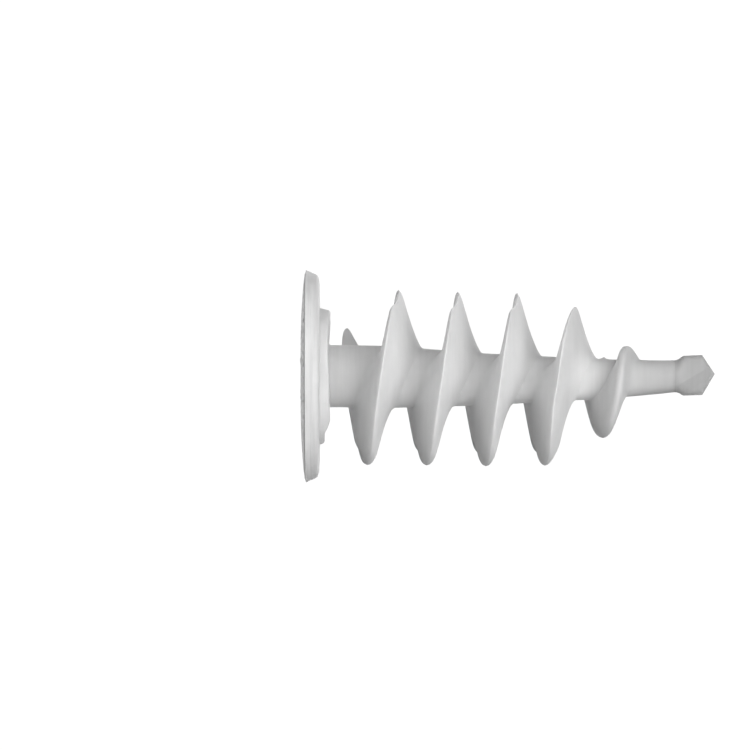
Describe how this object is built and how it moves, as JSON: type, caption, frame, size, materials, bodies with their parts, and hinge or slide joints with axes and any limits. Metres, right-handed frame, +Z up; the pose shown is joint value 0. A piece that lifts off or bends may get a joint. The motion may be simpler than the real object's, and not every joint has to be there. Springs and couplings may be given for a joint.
{
  "type": "wall anchor",
  "caption": "Self-drilling spiral wall anchor: a ribbed round flange with a six-lobe drive socket, a bored tapering core, a wide single-start flight and a spade drill point.",
  "frame": {"origin": "on the anchor's axis, in the plane of the flange's back face, which bears on the wall", "axes": "+X along the axis from the head into the wall, towards the drill tip; +Z up"},
  "size_m": [0.0546, 0.028, 0.028],
  "materials": {
    "face_nylon": "natural white nylon, satin, slightly translucent",
    "flight_nylon": "natural white nylon, satin, translucent where the flight thins to its crest",
    "core_nylon": "natural white nylon, satin"
  },
  "bodies": {
    "root": {"flange_plate": "face_nylon", "flange_rim": "face_nylon", "web_ring": "face_nylon", "web_main_ribs": "face_nylon", "web_side_ribs": "face_nylon", "rim_spokes": "face_nylon", "socket_hub": "face_nylon", "locking_collar": "core_nylon", "locking_ramps": "core_nylon", "shank": "core_nylon", "core_taper": "core_nylon", "thread_run_in": "flight_nylon", "thread_turn_1": "flight_nylon", "thread_turn_2": "flight_nylon", "thread_turn_3": "flight_nylon", "thread_lead_in": "flight_nylon", "tip_neck": "core_nylon", "drill_tip": "core_nylon"}
  },
  "joints": []
}
